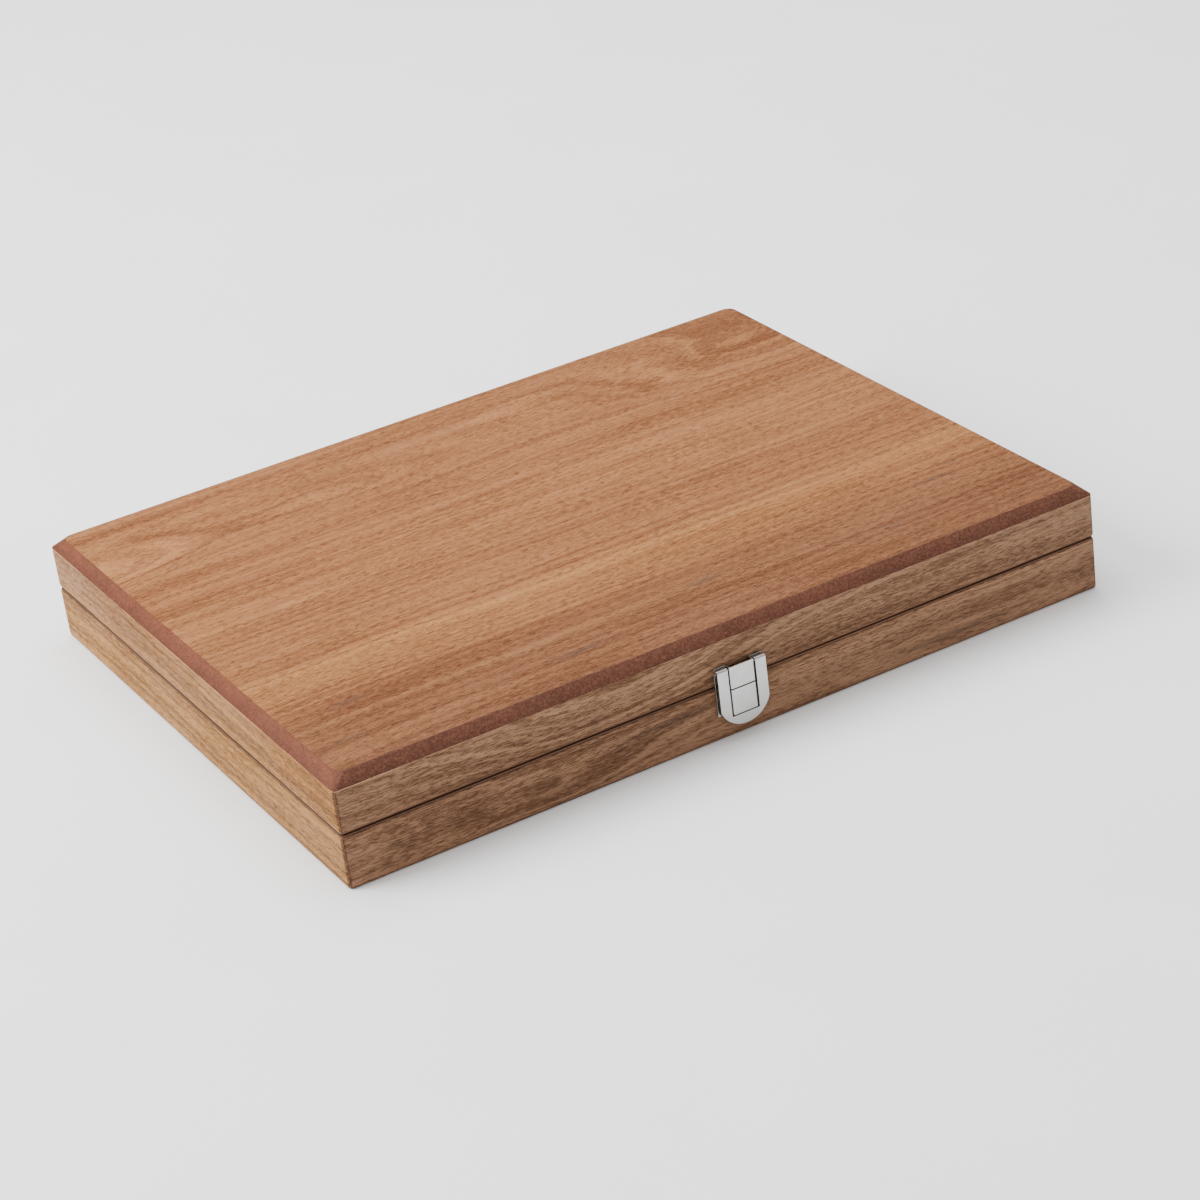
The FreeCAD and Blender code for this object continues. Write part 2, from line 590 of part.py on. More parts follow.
def lever():
    """A flat plate with a rounded end and an opening from above, rolled round its pin at the top."""
    owner = body("lever", ("0", LEVER_Y, LEVER_Z))
    outline = sketch(owner, "lever_outline", "XZ_Plane", ("0", "0", f"{LEVER_KNUCKLE} - lever_thick"))
    # A rough outline, which its constraints then bring to size.
    half, inner, bottom, side = 11.5, 6.5, -20, -16
    points = [(-half, 0), (-inner, 0), (-inner, bottom), (inner, bottom), (inner, 0), (half, 0), (half, side),
              (-half, side)]
    lines = [(0, 1), (1, 2), (2, 3), (3, 4), (4, 5), (5, 6), (7, 0)]
    for start, end in lines:
        outline.addGeometry(Part.LineSegment(Vector(*points[start], 0), Vector(*points[end], 0)))
    outline.addGeometry(Part.Arc(Vector(-half, side, 0), Vector(0, side - 8, 0), Vector(half, side, 0)))
    top_left, slot_left, slot_bottom, slot_right, top_right, right, left, end = range(8)
    for line, after in ((top_left, slot_left), (slot_left, slot_bottom), (slot_bottom, slot_right),
                        (slot_right, top_right), (top_right, right), (left, top_left)):
        constrain(outline, "Coincident", line, 2, after, 1)
    constrain(outline, "Coincident", right, 2, end, 2)
    constrain(outline, "Coincident", left, 1, end, 1)
    for line in (top_left, slot_bottom, top_right):
        constrain(outline, "Horizontal", line)
    for line in (slot_left, slot_right, right, left):
        constrain(outline, "Vertical", line)
    constrain(outline, "PointOnObject", top_left, 1, -1)
    constrain(outline, "PointOnObject", end, 3, -2)
    constrain(outline, "Symmetric", top_left, 1, top_right, 2, -2)
    constrain(outline, "Equal", top_left, top_right)
    constrain(outline, "DistanceX", top_left, 1, top_right, 2, 2 * half, size="lever_width")
    constrain(outline, "DistanceX", slot_left, 1, slot_right, 2, 2 * inner, size=LEVER_OPENING)
    constrain(outline, "Distance", slot_left, -bottom, size=f"{LEVER_Z} - {KEEPER_LOW} + lever_slot_play")
    constrain(outline, "Distance", right, -side, size="lever_side")
    constrain(outline, "Radius", end, 12.1, size="lever_end_radius")
    pad(owner, outline, "lever_thick")
    DOC.recompute()
    front = owner.Tip.Shape.BoundBox.YMin
    top = owner.Tip.Shape.BoundBox.ZMax
    dress(owner, "Fillet", "lever_rim", "lever_rim",
          lambda edge: all(abs(v.Y - front) < 1e-6 for v in edge.Vertexes)
          and any(abs(v.Z - top) > 1e-6 for v in edge.Vertexes))
    roll = circle(owner, "lever_roll", LEVER_KNUCKLE, ("0", "0", f"{LEVER_OPENING} / 2"))
    mirrored(owner, pad(owner, roll, f"(lever_width - {LEVER_OPENING}) / 2"))
    bore = circle(owner, "lever_bore", "lever_pin_radius + pin_play")
    pocket(owner, bore, "2 * lever_width", midplane=True)
    piece("latch_lever", owner)


# The whole case


def check(things):
    """Stops on a failed object or an empty or broken sub-part."""
    failed = [o.Name for o in DOC.Objects if {"Invalid", "Error"} & set(o.State)]
    bad = [o.Label for o in things if o.Shape.isNull() or not o.Shape.isValid() or not o.Shape.Solids]
    if failed or bad:
        raise RuntimeError(f"failed objects {failed}, bad shapes {bad}")


def export(things):
    os.makedirs("parts", exist_ok=True)
    for thing in things:
        thing.Shape.exportStep(f"parts/{thing.Label}.step")
        print(f"{thing.Label}: {thing.Shape.Volume:.1f} mm3, {len(thing.Shape.Solids)} solids")


def main():
    write_sheet()
    lid_screws = hinge_screws("lid", f"{LID_BOTTOM}", -1)
    base_screws = hinge_screws("base", f"{BASE_TOP}", 1)
    lid_nails = latch_nails("lid", f"{LID_PLATE_LOW} + lid_nail_height")
    base_nails = latch_nails("base", f"{KEEPER_LOW} + keeper_nail_height")

    lid_mortises = [hinge_mortise(side, "lid") for side in ("left", "right")]
    base_mortises = [hinge_mortise(side, "base") for side in ("left", "right")]
    outline = lid_outline()
    trimmed_walls("lid", LID_BOTTOM, WALL_TOP, outline, {
        ("wall", "back"): lid_mortises + lid_screws, ("veneer", "back"): lid_mortises,
        ("wall", "front"): lid_nails, ("veneer", "front"): lid_nails,
    })
    trimmed_walls("base", "0", BASE_TOP, rounded_outline("base_outline", "0", BASE_TOP, round_top=True), {
        ("wall", "all"): [base_panel_box("base_rabbet_room")],
        ("wall", "back"): base_mortises + base_screws, ("veneer", "back"): base_mortises,
        ("wall", "front"): base_nails, ("veneer", "front"): base_nails,
    })
    lid_panels(outline)
    piece("base_panel", base_panel_box("base_panel"))
    lid_linings()
    chip_tray("left", f"(-{INSIDE_X} + tray_gap)")
    chip_tray("right", f"({INSIDE_X} - tray_gap - {CHIP_TRAY_WIDTH})")
    middle_tray()

    for side in ("left", "right"):
        hinge_leaf(side, "lid", -1, lid_screws)
        hinge_leaf(side, "base", 1, base_screws)
        hinge_pin(side)

    latch_plate("lid_plate", LID_PLATE_LOW, "lid_plate_height",
                [*lid_nails, lever_pin("pin_room", "lever_pin_radius + pin_play")])
    latch_plate("keeper", KEEPER_LOW, "keeper_height", base_nails)
    piece("latch_pin", lever_pin("latch_pin", "lever_pin_radius"))
    lever()

    DOC.recompute()
    check(PIECES)
    export(PIECES)


main()
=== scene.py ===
import math

import bpy
from mathutils import Matrix, Vector


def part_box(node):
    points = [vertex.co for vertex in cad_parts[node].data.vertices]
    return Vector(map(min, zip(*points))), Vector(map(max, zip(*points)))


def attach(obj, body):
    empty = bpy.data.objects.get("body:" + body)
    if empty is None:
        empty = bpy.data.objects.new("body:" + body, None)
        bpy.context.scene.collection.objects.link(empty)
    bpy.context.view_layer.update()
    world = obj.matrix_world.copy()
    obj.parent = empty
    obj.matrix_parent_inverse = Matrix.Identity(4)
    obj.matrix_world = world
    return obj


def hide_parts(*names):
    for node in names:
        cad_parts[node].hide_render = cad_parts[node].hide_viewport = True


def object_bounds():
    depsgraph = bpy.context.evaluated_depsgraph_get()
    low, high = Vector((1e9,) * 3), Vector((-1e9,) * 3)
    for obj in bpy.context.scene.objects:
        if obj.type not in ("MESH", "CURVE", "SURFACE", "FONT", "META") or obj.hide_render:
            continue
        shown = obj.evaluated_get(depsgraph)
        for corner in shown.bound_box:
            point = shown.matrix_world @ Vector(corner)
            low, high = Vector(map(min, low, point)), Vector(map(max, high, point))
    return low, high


# A flat wooden poker chip case, shut, on a pale floor. Sizes here are in millimetres and are turned
# into metres where a mesh, light or camera is made. +X is the case's right, +Y its back, +Z up.

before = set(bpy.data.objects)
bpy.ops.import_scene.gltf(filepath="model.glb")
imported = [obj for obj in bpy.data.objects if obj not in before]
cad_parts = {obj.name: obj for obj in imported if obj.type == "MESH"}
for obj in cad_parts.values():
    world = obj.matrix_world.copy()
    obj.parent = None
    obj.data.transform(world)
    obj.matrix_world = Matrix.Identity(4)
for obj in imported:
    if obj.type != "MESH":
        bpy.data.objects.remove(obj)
cad_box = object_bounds()

MM = 0.001
HALF_X, HALF_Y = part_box("lid_panel")[1].x / MM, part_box("lid_panel")[1].y / MM
SEAM = (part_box("base_wall_left")[1].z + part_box("lid_wall_left")[0].z) / 2 / MM
VENEER = 0.5
CORNER_ROUND, EDGE_ROUND = 2.0, 1.5
CORNER_STEPS, EDGE_STEPS = 8, 6
LID_CHAMFER = 4.5
RIM_BELOW_TOP = 4.9      # the painted highlight line under the chamfer, below the lid's top
ARRIS = 0.5              # softening of the chamfer's two edges
ARRIS_TURNS = (0, 11, 22, 34, 45)
CORNER_EASE = 0.6        # how fast the chamfer's corners widen on the way in
LIP_ROUND = 0.9          # rounded lips of the flocked trays
WELD = 0.004             # joins the corners that neighbouring faces of a node share
PLATE_SHEET, PLATE_RAISED, PLATE_BEND, PLATE_INNER_BEND = 0.8, 5.85, 0.55, 0.2
LEVER_SHEET, LEVER_OPENING, LEVER_NICK, LEVER_BORE = 1.2, 13.1, 0.3, 0.6
LEVER_END, LEVER_END_STEPS = 12.1, 28
LEVER_BAR_TOP = 10.8     # bottom of the lever's opening
LEVER_ROLL_TURN, LEVER_ROLL_STEPS = 250, 24
ROLL_POWER = 2.6         # above 2, the rolled ends are squarer than a circle at the top
SIDE_ANGLES = {"front": -90, "right": 0, "back": 90, "left": 180}
# Dark stain for the edges and corners, also used as painted shade along the seam between lid and base.
STAIN_AND_SEAM_SHADE = (0.030, 0.011, 0.009)


# Node graphs


class Graph:
    """A material's node tree, with a short call for each kind of node."""

    def __init__(self, name):
        self.material = bpy.data.materials.new(name)
        self.material.use_nodes = True
        self.tree = self.material.node_tree
        self.tree.nodes.clear()
        place = self.node("ShaderNodeTexCoord").outputs["Object"]
        self.object_mm = self.vector("MULTIPLY", place, (1 / MM,) * 3)

    def node(self, kind, inputs=(), **settings):
        made = self.tree.nodes.new(kind)
        for key, value in settings.items():
            setattr(made, key, value)
        for key, value in dict(inputs).items():
            if isinstance(value, bpy.types.NodeSocket):
                self.tree.links.new(value, made.inputs[key])
            else:
                made.inputs[key].default_value = value
        return made

    def math(self, operation, *values):
        return self.node("ShaderNodeMath", enumerate(values), operation=operation).outputs[0]

    def swing(self, value, weight):
        """A value from 0 to 1 turned into one that swings round 0."""
        return self.math("MULTIPLY", self.math("SUBTRACT", value, 0.5), weight)

    def vector(self, operation, *values):
        made = self.node("ShaderNodeVectorMath", enumerate(values), operation=operation)
        return made.outputs["Value" if operation in ("DOT_PRODUCT", "LENGTH") else "Vector"]

    def split(self, vector):
        return self.node("ShaderNodeSeparateXYZ", {0: vector}).outputs

    def join(self, x, y, z=0.0):
        return self.node("ShaderNodeCombineXYZ", {0: x, 1: y, 2: z}).outputs[0]

    def noise(self, at, per_mm, detail=2.0, roughness=0.5, distortion=0.0):
        """Noise from 0 to 1. per_mm is how often it repeats along each axis of at."""
        stretched = self.vector("MULTIPLY", at, per_mm)
        return self.node("ShaderNodeTexNoise", {
            "Vector": stretched, "Scale": 1.0, "Detail": detail, "Roughness": roughness,
            "Distortion": distortion}).outputs["Fac"]

    def remap(self, value, low, high, to_low=0.0, to_high=1.0):
        return self.node("ShaderNodeMapRange", {
            0: value, 1: low, 2: high, 3: to_low, 4: to_high}, interpolation_type="SMOOTHSTEP").outputs[0]

    def mix(self, share, a, b, how="MIX"):
        made = self.node("ShaderNodeMix", data_type="RGBA", blend_type=how)
        for index, value in ((0, share), (6, a), (7, b)):
            if isinstance(value, bpy.types.NodeSocket):
                self.tree.links.new(value, made.inputs[index])
            else:
                made.inputs[index].default_value = value if index == 0 else (*value, 1.0)
        return made.outputs[2]

    def ramp(self, value, stops):
        made = self.node("ShaderNodeValToRGB", {0: value})
        ends = made.color_ramp.elements
        for element, (position, colour) in zip(list(ends), (stops[0], stops[-1])):
            element.position, element.color = position, (*colour, 1.0)
        for position, colour in stops[1:-1]:
            ends.new(position).color = (*colour, 1.0)
        return made.outputs[0]

    def hill(self, at, centre, size):
        """A smooth mound, 1 at centre and falling off over size along each axis."""
        offset = self.vector("DIVIDE", self.vector("SUBTRACT", at, (*centre, 0.0)), (*size, 1.0))
        return self.math("EXPONENT", self.math("MULTIPLY", self.vector("DOT_PRODUCT", offset, offset), -1.0))

    def bump(self, height, strength, depth_mm):
        return self.node("ShaderNodeBump", {
            "Height": height, "Strength": strength, "Distance": depth_mm * MM}).outputs[0]

    def finish(self, **inputs):
        """The shader, with its sockets given by name, and _ for a space."""
        named = {name.replace("_", " "): value for name, value in inputs.items()}
        shader = self.node("ShaderNodeBsdfPrincipled", named)
        self.node("ShaderNodeOutputMaterial", {"Surface": shader.outputs[0]})
        return self.material


def scaled(colour, share):
    return tuple(share * part for part in colour)


# Wood


def edge_stain_and_seam_shade(g, way, half):
    """Where stain has gathered along the rounded bottom edges and the upright corners, and painted shade with
    stain along the rounded seam between lid and base.
    """
    z = g.split(g.object_mm)[2]
    ragged = g.swing(g.noise(g.object_mm, (0.8,) * 3, 3.0, 0.6), 1.3)
    from_seam = g.math("ABSOLUTE", g.math("SUBTRACT", z, SEAM))
    # Painted shade along the seam between lid and base, together with the stain on its rounded edges.
    seam = g.remap(g.math("MULTIPLY_ADD", ragged, 0.6, from_seam), 0.5, 1.6, 1.0, 0.0)
    bottom = g.remap(g.math("ADD", z, ragged), 0.2, 1.5, 0.7, 0.0)
    along = g.math("ADD", g.math("ABSOLUTE", way), ragged)
    corner = g.remap(along, half - 1.8, half - 0.6, 0.0, 0.82)
    worn = g.remap(g.noise(g.object_mm, (0.5, 0.5, 0.7), 3.0, 0.6), 0.58, 0.68, 1.0, 0.3)
    return g.math("MAXIMUM", seam, g.math("MULTIPLY", g.math("MAXIMUM", bottom, corner), worn))


def painted_highlight_rim(g):
    """A thin painted highlight on the top edge of the wall veneer just under the chamfer, clearest at the left
    and its corner, where the key light falls.
    """
    x, _, z = g.split(g.object_mm)
    rim_height = cad_box[1].z / MM - RIM_BELOW_TOP
    line = g.remap(g.math("ABSOLUTE", g.math("SUBTRACT", z, rim_height)), 0.12, 0.34, 0.8, 0.0)
    broken = g.remap(g.noise(g.object_mm, (0.04, 0.04, 0.3), 2.0), 0.45, 0.6)
    # The painted highlight fades away from the lit left end.
    near = g.remap(x, -150.0, -120.0, 1.0, 0.35)
    return g.math("MULTIPLY", line, g.math("MULTIPLY", broken, near))


def veneer(name, along, dark, light, tones, figure=(), pale=(), marks=(), shelf=None, seed=0.0, top=False,
           plain=0.4, bold=0.6, grain=1.0, pitted=0.03):
    """Open-grained veneer. tones colours it across the grain. figure bends the growth rings round mounds
    (centre, size, height), pale lightens mounds (centre, size, share) and marks are mineral streaks. shelf
    is a place across the grain, and a half width, where the rings spread. plain is how strongly the rings
    show away from the figure, bold how strongly in it, and grain how strongly the straight grain shows.
    pitted opens more pores."""
    g = Graph(name)
    x, y, z = g.split(g.object_mm)
    run, cross = {"x": x, "y": y}[along], y if top else z
    seeded = g.join(run, cross, seed)
    wander = g.noise(seeded, (0.006, 0.02, 1.0), 2.0)
    ripple = g.noise(seeded, (0.03, 0.12, 1.0), 3.0, 0.6)
    flat = g.join(g.math("ADD", run, g.swing(ripple, 26.0)), cross)
    rings = g.math("MULTIPLY_ADD", wander, 10.0, cross)
    rings = g.math("MULTIPLY_ADD", ripple, 5.0, rings)
    if shelf:
        place, reach = shelf
        lift = reach / 1.5              # the smooth step is then as steep in its middle as the field itself
        rings = g.math("SUBTRACT", rings, g.remap(cross, place - reach, place + reach, -lift, lift))
    figured = None
    for centre, size, height in figure:
        mound = g.hill(flat, centre, size)
        rings = g.math("MULTIPLY_ADD", mound, height, rings)
        figured = mound if figured is None else g.math("ADD", figured, mound)
    ring_line = g.join(g.math("MULTIPLY", run, 0.002), rings, seed)
    growth = g.remap(g.noise(ring_line, (1.0, 0.34, 1.0), 2.0, 0.5), 0.34, 0.66, 0.5, -0.5)
    contrast = plain if figured is None else g.remap(figured, 0.02, 0.5, plain, bold)
    ringed = g.math("MULTIPLY", growth, contrast)
    shade = g.math("MULTIPLY_ADD", ringed, 1.25, 0.47)
    fine = g.noise(ring_line, (1.0, 1.3, 1.0), 2.0, 0.6)
    bands = g.noise(seeded, (0.0022, 0.085, 1.0), 3.0, 0.6)
    streaks = g.noise(seeded, (0.012, 0.7, 1.0), 3.0, 0.65)
    hair = g.noise(seeded, (0.06, 2.4, 1.0), 3.0, 0.7)
    for part, weight in ((fine, 0.7), (bands, 1.5), (streaks, 1.3), (hair, 1.4)):
        shade = g.math("ADD", shade, g.swing(part, weight * grain))
    colour = g.mix(g.math("MINIMUM", g.math("MAXIMUM", shade, 0.0), 1.0), light, dark)
    low, high = tones[0][0], tones[-1][0]
    drift = g.swing(wander, 0.08 * (high - low))
    place = g.math("DIVIDE", g.math("SUBTRACT", g.math("ADD", cross, drift), low), high - low)
    toned = g.ramp(place, [((stop - low) / (high - low), tint) for stop, tint in tones])
    colour = g.mix(1.0, colour, toned, "MULTIPLY")
    for centre, size, share in pale:
        spot = g.math("MULTIPLY", g.remap(g.hill(flat, centre, size), 0.34, 0.5), share)
        colour = g.mix(spot, colour, scaled(light, 1.16))
    pores = g.noise(seeded, (0.26, 3.1, 1.0), 2.0, 0.6)
    crowd = g.noise(seeded, (0.012, 0.05, 1.0), 2.0)
    porous = g.math("ADD", g.math("ADD", pores, pitted), g.swing(crowd, 0.16))
    pore = g.remap(g.math("MULTIPLY_ADD", ringed, 0.2, porous), 0.55, 0.66)
    colour = g.mix(g.math("MULTIPLY", pore, 0.85), colour, (0.56, 0.46, 0.40), "MULTIPLY")
    flecks = g.remap(g.noise(seeded, (0.09, 2.6, 3.0), 2.0, 0.5), 0.60, 0.74, 0.0, 0.5)
    colour = g.mix(flecks, colour, scaled(light, 1.25))
    for centre, size in marks:
        spot = g.math("MULTIPLY", g.hill(flat, centre, size), g.remap(hair, 0.3, 0.6, 0.3, 0.75))
        colour = g.mix(spot, colour, scaled((0.42, 0.25, 0.17), dark[0]))
    if not top:
        # Stain on the edges and corners, and painted shade along the seam.
        colour = g.mix(edge_stain_and_seam_shade(g, run, HALF_X if along == "x" else HALF_Y), colour, STAIN_AND_SEAM_SHADE)
        # Painted highlight along the veneer's top edge under the chamfer.
        colour = g.mix(painted_highlight_rim(g), colour, scaled(light, 1.5))
    height = g.math("SUBTRACT", g.math("MULTIPLY", hair, 0.8), pore)
    soft = g.remap(crowd, 0.3, 0.7, 0.44, 0.55)
    rough = g.math("MULTIPLY_ADD", pore, 0.15, soft)
    return g.finish(Base_Color=colour, Roughness=rough, Specular_IOR_Level=0.10,
                    Normal=g.bump(height, 0.9, 0.25))


def stained_board(name, colour):
    """Fine, granular fibreboard with a red-brown stain, and painted shade that darkens it towards the lower
    edge of the chamfer.
    """
    g = Graph(name)
    z = g.split(g.object_mm)[2]
    grain = g.noise(g.object_mm, (1.0,) * 3, 4.0, 0.75)
    cloud = g.noise(g.object_mm, (0.05,) * 3, 2.0)
    drag = g.noise(g.object_mm, (0.25, 0.25, 0.8), 2.0)
    tint = g.mix(g.remap(cloud, 0.35, 0.65, 0.0, 0.5), colour, scaled(colour, 1.3))
    # Painted shade: darker towards the lower edge of the chamfer.
    tint = g.mix(g.remap(z, 44.0, 48.0, 0.55, 0.0), tint, (0.62, 0.55, 0.58), "MULTIPLY")
    tint = g.mix(g.remap(drag, 0.4, 0.7, 0.0, 0.3), tint, (0.7, 0.62, 0.6), "MULTIPLY")
    tint = g.mix(g.remap(grain, 0.35, 0.62, 0.85, 0.0), tint, (0.55, 0.5, 0.5), "MULTIPLY")
    tint = g.mix(g.remap(grain, 0.55, 0.7, 0.0, 0.4), tint, scaled(colour, 2.0))
    return g.finish(Base_Color=tint, Roughness=g.remap(grain, 0.3, 0.7, 0.42, 0.6), Specular_IOR_Level=0.12,
                    Normal=g.bump(grain, 0.5, 0.15))


def board(name, along, colour):
    """Solid wall stock: straight grain, seen inside the case and on the edges at the seam."""
    g = Graph(name)
    x, y, z = g.split(g.object_mm)
    run, other = (x, y) if along == "x" else (y, x)
    at = g.join(run, g.math("ADD", other, z), z)
    streak = g.noise(at, (0.01, 0.25, 0.25), 3.0, 0.6)
    hair = g.noise(at, (0.06, 1.8, 1.8), 3.0, 0.6)
    pore = g.remap(g.noise(at, (0.2, 3.0, 3.0), 2.0), 0.58, 0.68)
    tint = g.mix(g.remap(streak, 0.3, 0.7), scaled(colour, 0.72), scaled(colour, 1.2))
    tint = g.mix(g.remap(hair, 0.3, 0.7, 0.0, 0.5), tint, (0.74, 0.68, 0.62), "MULTIPLY")
    tint = g.mix(g.math("MULTIPLY", pore, 0.5), tint, (0.45, 0.36, 0.3), "MULTIPLY")
    # Painted shade of the gap at the seam, in the stain colour, on the wall edges near the outer face.
    edge = g.remap(g.math("ABSOLUTE", g.math("SUBTRACT", z, SEAM)), 0.12, 0.9, 0.85, 0.0)
    past_x = g.math("SUBTRACT", g.math("ABSOLUTE", x), HALF_X)
    past_y = g.math("SUBTRACT", g.math("ABSOLUTE", y), HALF_Y)
    outer = g.remap(g.math("MAXIMUM", past_x, past_y), -1.6, -0.9)
    tint = g.mix(g.math("MULTIPLY", edge, outer), tint, STAIN_AND_SEAM_SHADE)
    height = g.math("SUBTRACT", g.math("MULTIPLY", hair, 0.4), pore)
    return g.finish(Base_Color=tint, Roughness=g.remap(hair, 0.3, 0.7, 0.48, 0.62), Specular_IOR_Level=0.12,
                    Normal=g.bump(height, 0.4, 0.1))


# Metal and cloth


def plated(name, colour, rough, brushed="x"):
    """Bright plate with faint polishing lines, handling marks and a slightly dulled tone."""
    g = Graph(name)
    cloud = g.noise(g.object_mm, (0.25,) * 3, 3.0)
    lines = g.noise(g.object_mm, {"x": (0.3, 6.0, 9.0), "z": (9.0, 6.0, 0.3)}[brushed], 3.0, 0.6)
    marks = g.remap(g.noise(g.object_mm, (1.3, 1.3, 1.9), 4.0, 0.7), 0.6, 0.72)
    tint = g.mix(g.remap(cloud, 0.3, 0.7, 0.0, 0.35), colour, scaled(colour, 0.82))
    roughness = g.math("MULTIPLY_ADD", marks, 0.06, g.remap(cloud, 0.3, 0.7, rough, rough * 1.4))
    return g.finish(Base_Color=tint, Metallic=1.0, Roughness=roughness, Anisotropic=0.2,
                    Normal=g.bump(g.math("MULTIPLY_ADD", marks, 0.3, lines), 0.06, 0.03))


def napped(name, colour, fibre, sheen):
    """Felt or flocking: short fibres, uneven nap and a soft sheen."""
    g = Graph(name)
    fibres = g.noise(g.object_mm, (fibre,) * 3, 4.0, 0.75, 0.6)
    nap = g.noise(g.object_mm, (0.06, 0.09, 0.06), 3.0)
    lint = g.remap(g.noise(g.object_mm, (fibre * 0.6,) * 3, 2.0), 0.68, 0.78, 0.0, 0.5)
    tint = g.mix(g.remap(nap, 0.35, 0.65), scaled(colour, 0.82), scaled(colour, 1.18))
    tint = g.mix(g.remap(fibres, 0.3, 0.7), scaled(colour, 0.45), tint)
    tint = g.mix(lint, tint, tuple(2.2 * part + 0.01 for part in colour))
    return g.finish(Base_Color=tint, Roughness=g.remap(fibres, 0.3, 0.7, 0.82, 0.98), Specular_IOR_Level=0.15,
                    Sheen_Weight=sheen, Sheen_Roughness=0.45, Normal=g.bump(fibres, 0.7, 0.25))


TOP_DARK, TOP_LIGHT = (0.228, 0.081, 0.0285), (0.332, 0.142, 0.052)
SIDE_DARK, SIDE_LIGHT = (0.142, 0.070, 0.037), (0.300, 0.164, 0.092)
END_DARK, END_LIGHT = (0.150, 0.062, 0.017), (0.400, 0.178, 0.043)

VENEERS = {
    "top": veneer(
        "veneer_top", "x", TOP_DARK, TOP_LIGHT,
        [(-140, (0.66, 0.64, 0.72)), (-100, (0.73, 0.72, 0.78)), (-78, (0.92, 0.90, 0.90)),
         (-57, (1.16, 1.22, 1.12)), (-44, (0.99, 0.99, 0.99)), (-10, (0.99, 0.98, 0.99)),
         (8, (1.08, 1.10, 1.08)), (40, (1.0, 0.98, 0.97)), (140, (0.99, 0.97, 0.96))],
        figure=[((-198, 90), (66, 20), 22), ((-70, 90), (46, 13), 9), ((160, 98), (60, 30), 34),
                ((-14, 54), (18, 6), 6)],
        pale=[((-180, 90), (46, 16), 0.7), ((-52, 88), (44, 8), 0.45), ((40, 110), (24, 7), 0.4),
              ((109, 98), (6, 20), 0.35)],
        marks=[((150, -80), (6, 1.0)), ((134, -88), (8, 1.0)), ((-57, -116), (12, 1.2)), ((15, -99), (10, 1.4)),
               ((-147, -88), (6, 1.2)), ((-158, -115), (8, 1.2)), ((95, -112), (10, 1.0))],
        shelf=(92, 28), seed=3.1, top=True, plain=0.3, bold=0.48, grain=1.15, pitted=0.02),
    "front": veneer(
        "veneer_front", "x", SIDE_DARK, SIDE_LIGHT,
        [(0, (1.00, 0.98, 0.98)), (22, (1.03, 1.01, 1.01)), (27, (1.06, 1.06, 1.06)), (44, (1.06, 1.06, 1.06))],
        figure=[((-188, 11), (54, 12), 16), ((-92, 8), (34, 9), 10), ((-60, 36), (70, 26), 22),
                ((120, 2), (50, 7), 9)],
        marks=[((-28, 17), (28, 1.3)), ((104, 6), (30, 1.3)), ((-160, 12), (3, 1.0))],
        shelf=(11, 10), seed=11.7, plain=0.3, bold=0.5, grain=0.75),
    "back": veneer(
        "veneer_back", "x", SIDE_DARK, SIDE_LIGHT, [(0, (0.95, 0.94, 0.94)), (44, (1.0, 1.0, 1.0))],
        figure=[((90, 16), (70, 12), 16)], seed=23.9, plain=0.4),
    "left": veneer(
        "veneer_left", "y", END_DARK, END_LIGHT,
        [(0, (1.08, 1.16, 1.26)), (22, (1.07, 1.14, 1.24)), (27, (0.98, 0.99, 1.04)), (44, (0.97, 0.98, 1.03))],
        seed=37.3, plain=0.3, grain=0.8, pitted=0.065),
    "right": veneer(
        "veneer_right", "y", END_DARK, END_LIGHT, [(0, (0.95, 1.05, 1.25)), (44, (0.98, 1.08, 1.30))],
        seed=51.5, plain=0.3, grain=0.8, pitted=0.05),
}
BAND = {
    "front": stained_board("stained_band_front", (0.125, 0.049, 0.029)),
    "side": stained_board("stained_band_side", (0.138, 0.041, 0.018)),
}
BOARDS = {
    "x": board("board_long", "x", (0.175, 0.088, 0.046)),
    "y": board("board_short", "y", (0.18, 0.091, 0.048)),
}
BOTTOM = board("bottom_sheet", "x", (0.10, 0.055, 0.033))
NICKEL = plated("nickel_plate", (0.475, 0.475, 0.47), 0.19, "z")
HINGE = plated("hinge_plate", (0.60, 0.59, 0.56), 0.24)
FELT = napped("green_felt", (0.016, 0.085, 0.038), 2.2, 0.5)
FLOCK = napped("green_flock", (0.010, 0.055, 0.025), 3.2, 0.7)


# Mesh helpers


def piece(name, body, node, points, faces, materials, indices=None, bevel=None, crease=35):
    """A piece made from points in millimetres, which stands for a CAD node."""
    mesh = bpy.data.meshes.new(name)
    mesh.from_pydata([Vector(p) * MM for p in points], [], faces)
    for material in materials:
        mesh.materials.append(material)
    if indices:
        mesh.polygons.foreach_set("material_index", indices)
    mesh.validate()
    mesh.shade_smooth()
    mesh.set_sharp_from_angle(angle=math.radians(crease))
    made = bpy.data.objects.new(name, mesh)
    bpy.context.scene.collection.objects.link(made)
    if bevel:
        rim = made.modifiers.new("rim", "BEVEL")
        rim.width, rim.segments, rim.limit_method = bevel * MM, 3, "ANGLE"
        rim.angle_limit, rim.harden_normals = math.radians(crease), True
    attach(made, body)
    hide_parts(node)


def arc(centre, radius, start, end, steps):
    """Points round a centre, with angles in degrees."""
    return [(centre[0] + radius * math.cos(math.radians(start + (end - start) * k / steps)),
             centre[1] + radius * math.sin(math.radians(start + (end - start) * k / steps)))
            for k in range(steps + 1)]


